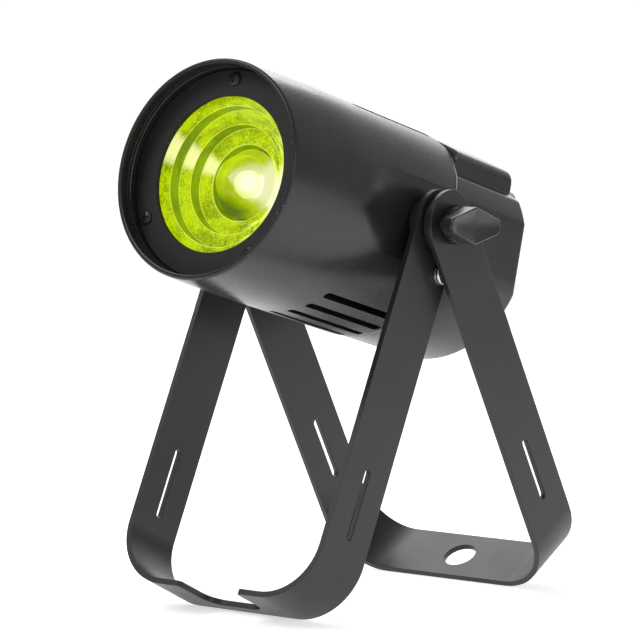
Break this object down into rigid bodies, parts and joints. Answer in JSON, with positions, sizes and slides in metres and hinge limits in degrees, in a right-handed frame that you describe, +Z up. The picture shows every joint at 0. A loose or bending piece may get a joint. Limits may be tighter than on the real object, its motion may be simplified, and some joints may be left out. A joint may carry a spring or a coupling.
{
  "type": "pinspot light",
  "caption": "Small round LED spotlight with a recessed lens, tilting on wing knobs between U-shaped strap brackets that stand as a scissor or fold together for hanging.",
  "frame": {"origin": "on the surface it stands on, under the middle of the whole object", "axes": "+Z up; the lamp faces -Y; +X is the pivot axis, towards the side with the stop screw"},
  "size_m": [0.1458, 0.2118, 0.2358],
  "materials": {
    "housing": "satin black powder coat",
    "face_plate": "matt black paint",
    "panel": "matt black paint",
    "bracket": "fine-texture black powder coat",
    "bright_steel": "nickel plated",
    "knob_plastic": "moulded, lightly rough",
    "black_plastic": "moulded",
    "rubber": "matt",
    "black_screw": "black oxide",
    "lens_glass": "polished",
    "window": "smoked",
    "lit_cup": "moulded, lit lime green",
    "aluminium": "as machined",
    "circuit_board": "solder mask",
    "amber_film": "polyester film",
    "led_phosphor": "encapsulated emitter",
    "grey_plastic": "moulded",
    "blue_plastic": "moulded",
    "brass": "turned"
  },
  "bodies": {
    "rear_bracket": {"rear_bracket": "bracket"},
    "front_bracket": {"front_bracket": "bracket", "stop_screw": "bright_steel", "stop_washer": "bright_steel"},
    "lamp": {"bracket_spacer_far": "black_plastic", "bracket_spacer_near": "black_plastic", "capacitor": "black_plastic", "chassis": "aluminium", "display_board": "circuit_board", "display_module": "black_plastic", "display_window": "window", "dmx_in": "black_plastic", "dmx_out": "black_plastic", "dome_holder": "black_plastic", "dome_lens": "lens_glass", "driver_board": "circuit_board", "face_plate": "face_plate", "face_screw_1": "black_screw", "face_screw_2": "black_screw", "face_screw_3": "black_screw", "front_housing": "housing", "front_lens": "lens_glass", "fuse_holder": "black_plastic", "fuse_link": "lens_glass", "heat_sink": "aluminium", "housing_washer_far": "rubber", "housing_washer_near": "rubber", "insulating_sheet": "amber_film", "led_board": "aluminium", "led_emitter": "led_phosphor", "lens_gasket": "rubber", "panel_screw_1": "black_screw", "panel_screw_2": "black_screw", "panel_screw_3": "black_screw", "pivot_bush_far": "brass", "pivot_bush_near": "brass", "power_board": "circuit_board", "power_in": "blue_plastic", "power_out": "grey_plastic", "rear_housing": "housing", "rear_panel": "panel", "safety_eye": "bright_steel", "stepped_cup": "lit_cup", "transformer": "amber_film"},
    "knob_near": {"knob_near": "knob_plastic", "knob_stud_near": "bright_steel"},
    "knob_far": {"knob_far": "knob_plastic", "knob_stud_far": "bright_steel"},
    "fuse_cap": {"fuse_cap": "black_plastic"},
    "dmx_latch": {"dmx_latch": "bright_steel"},
    "menu_button_1": {"menu_button_1": "black_plastic"},
    "menu_button_2": {"menu_button_2": "black_plastic"},
    "menu_button_3": {"menu_button_3": "black_plastic"},
    "menu_button_4": {"menu_button_4": "black_plastic"}
  },
  "joints": [
    {"name": "bracket_fold", "type": "hinge", "parent": "rear_bracket", "child": "front_bracket", "pos_m": [0, -0.0015, 0.16657], "axis": [1, 0, 0], "range_deg": [-124, 55.5]},
    {"name": "lamp_tilt", "type": "hinge", "parent": "rear_bracket", "child": "lamp", "pos_m": [0, -0.0015, 0.16657], "axis": [-1, 0, 0], "range_deg": [-104, 166]},
    {"name": "knob_near_turn", "type": "hinge", "parent": "lamp", "child": "knob_near", "pos_m": [0.06015, -0.0015, 0.16657], "axis": [1, 0, 0], "range_deg": [0, 360]},
    {"name": "knob_far_turn", "type": "hinge", "parent": "lamp", "child": "knob_far", "pos_m": [-0.06015, -0.0015, 0.16657], "axis": [-1, 0, 0], "range_deg": [0, 360]},
    {"name": "fuse_cap_turn", "type": "hinge", "parent": "lamp", "child": "fuse_cap", "pos_m": [0, 0.07721, 0.17412], "axis": [0, 0.9699, -0.2436], "range_deg": [0, 90]},
    {"name": "dmx_latch_press", "type": "slide", "parent": "lamp", "child": "dmx_latch", "axis": [0, -0.9699, 0.2436], "range_m": [0, 0.0012], "stiffness_N_per_m": 600},
    {"name": "menu_button_1_press", "type": "slide", "parent": "lamp", "child": "menu_button_1", "axis": [0, -0.9699, 0.2436], "range_m": [0, 0.0008], "stiffness_N_per_m": 500},
    {"name": "menu_button_2_press", "type": "slide", "parent": "lamp", "child": "menu_button_2", "axis": [0, -0.9699, 0.2436], "range_m": [0, 0.0008], "stiffness_N_per_m": 500},
    {"name": "menu_button_3_press", "type": "slide", "parent": "lamp", "child": "menu_button_3", "axis": [0, -0.9699, 0.2436], "range_m": [0, 0.0008], "stiffness_N_per_m": 500},
    {"name": "menu_button_4_press", "type": "slide", "parent": "lamp", "child": "menu_button_4", "axis": [0, -0.9699, 0.2436], "range_m": [0, 0.0008], "stiffness_N_per_m": 500}
  ]
}
